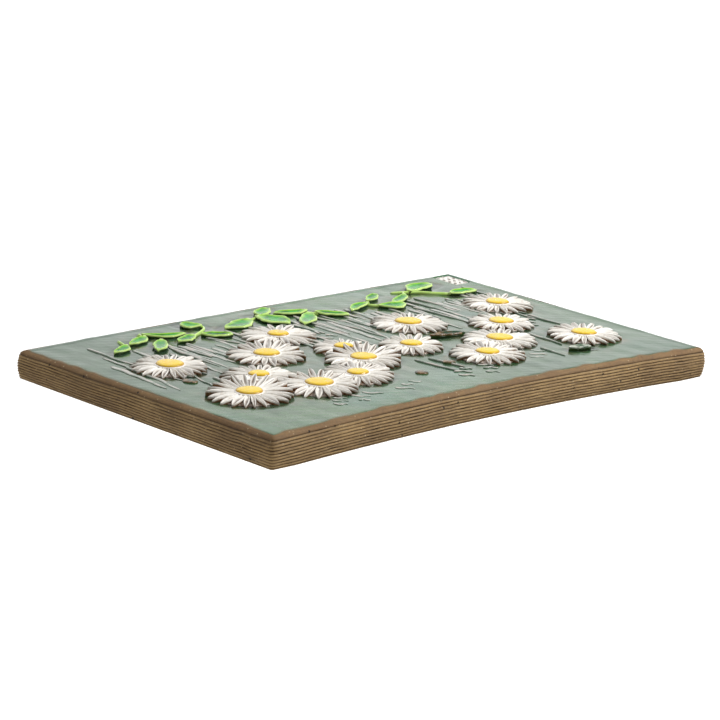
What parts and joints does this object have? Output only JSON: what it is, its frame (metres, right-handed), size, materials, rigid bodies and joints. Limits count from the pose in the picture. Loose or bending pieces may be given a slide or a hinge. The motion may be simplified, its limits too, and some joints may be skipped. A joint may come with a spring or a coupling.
{
  "type": "decorative wall plaque",
  "caption": "Oblong stoneware wall plaque with a raised daisy meadow, a leafy vine along the foot, celadon glaze and bare combed clay sides.",
  "frame": {"origin": "where the nail bears on the upper edge of the hanging slot, in the plane of the wall", "axes": "+X along the picture's width to the viewer's right, +Y into the wall, +Z to the top of the picture; the picture faces -Y"},
  "size_m": [0.426, 0.0332, 0.268],
  "materials": {
    "field_glaze": "glossy mottled grey-green celadon",
    "bare_clay": "matt toasted stoneware, combed",
    "petal_glaze": "glossy white, thin over brown clay at the rims",
    "centre_glaze": "glossy yellow",
    "leaf_glaze": "glossy pooled green with pale rims"
  },
  "bodies": {
    "root": {"plaque": "field_glaze"}
  },
  "joints": []
}
